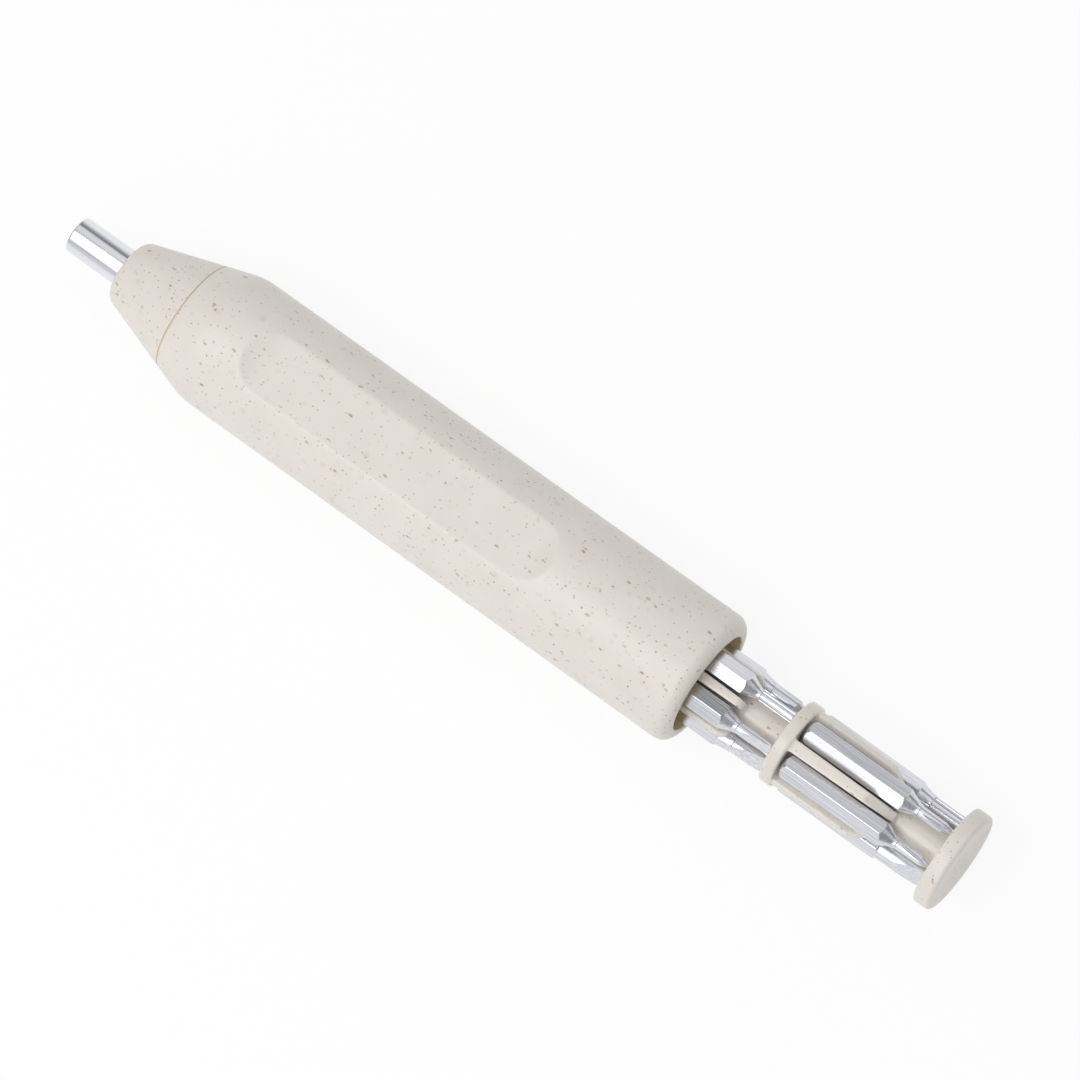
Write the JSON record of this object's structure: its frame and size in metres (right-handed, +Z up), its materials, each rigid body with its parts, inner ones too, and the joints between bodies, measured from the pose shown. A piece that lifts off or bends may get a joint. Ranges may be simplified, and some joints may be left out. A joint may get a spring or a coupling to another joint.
{
  "type": "multi-bit screwdriver",
  "caption": "Straight round screwdriver with a magnetic hexagon socket, a hollow handle with sunk grip panels and a pull-out magazine that stores its bits behind an end cap.",
  "frame": {"origin": "middle of the tool's length and width in the pictured pose, on the surface that the handle lies on", "axes": "+X along the tool from the socket to the end cap, +Z up through the middle of one grip panel"},
  "size_m": [0.176, 0.0234, 0.0234],
  "materials": {
    "straw_shell": "pale moulded plastic filled with brown straw flecks, satin",
    "straw_magazine": "the same flecked plastic from a smoother mould",
    "chrome_tube": "bright plated tube",
    "bit_steel": "bright steel with fine lengthwise lines",
    "magnet_nickel": "plain nickel plate"
  },
  "bodies": {
    "handle": {"handle_shell": "straw_shell", "nose_cone": "straw_shell", "bit_socket": "chrome_tube", "socket_magnet": "magnet_nickel"},
    "magazine": {"front_tier": "straw_magazine", "rear_tier": "straw_magazine", "end_cap": "straw_shell", "slot_bit_2mm": "bit_steel", "slot_bit_3mm": "bit_steel", "star_bit_8": "bit_steel", "cross_bit_0": "bit_steel", "star_bit_6": "bit_steel"},
    "cross_000": {"cross_bit_000": "bit_steel"},
    "slot_4": {"slot_bit_4mm": "bit_steel"},
    "hex_2": {"hex_bit_2mm": "bit_steel"},
    "star_10": {"star_bit_10": "bit_steel"},
    "cross_00": {"cross_bit_00": "bit_steel"}
  },
  "joints": [
    {"name": "magazine_slide", "type": "slide", "parent": "handle", "child": "magazine", "axis": [1, 0, 0], "range_m": [-0.0486, 0.02]},
    {"name": "cross_000_lift", "type": "slide", "parent": "magazine", "child": "cross_000", "axis": [0, -0.6561, 0.7547], "range_m": [0, 0.0042]},
    {"name": "slot_4_lift", "type": "slide", "parent": "magazine", "child": "slot_4", "axis": [0, -0.9205, -0.3907], "range_m": [0, 0.0042]},
    {"name": "hex_2_lift", "type": "slide", "parent": "magazine", "child": "hex_2", "axis": [0, 0.0872, -0.9962], "range_m": [0, 0.0042]},
    {"name": "star_10_lift", "type": "slide", "parent": "magazine", "child": "star_10", "axis": [0, 0.9744, -0.225], "range_m": [0, 0.0042]},
    {"name": "cross_00_lift", "type": "slide", "parent": "magazine", "child": "cross_00", "axis": [0, 0.515, 0.8572], "range_m": [0, 0.0042]}
  ]
}
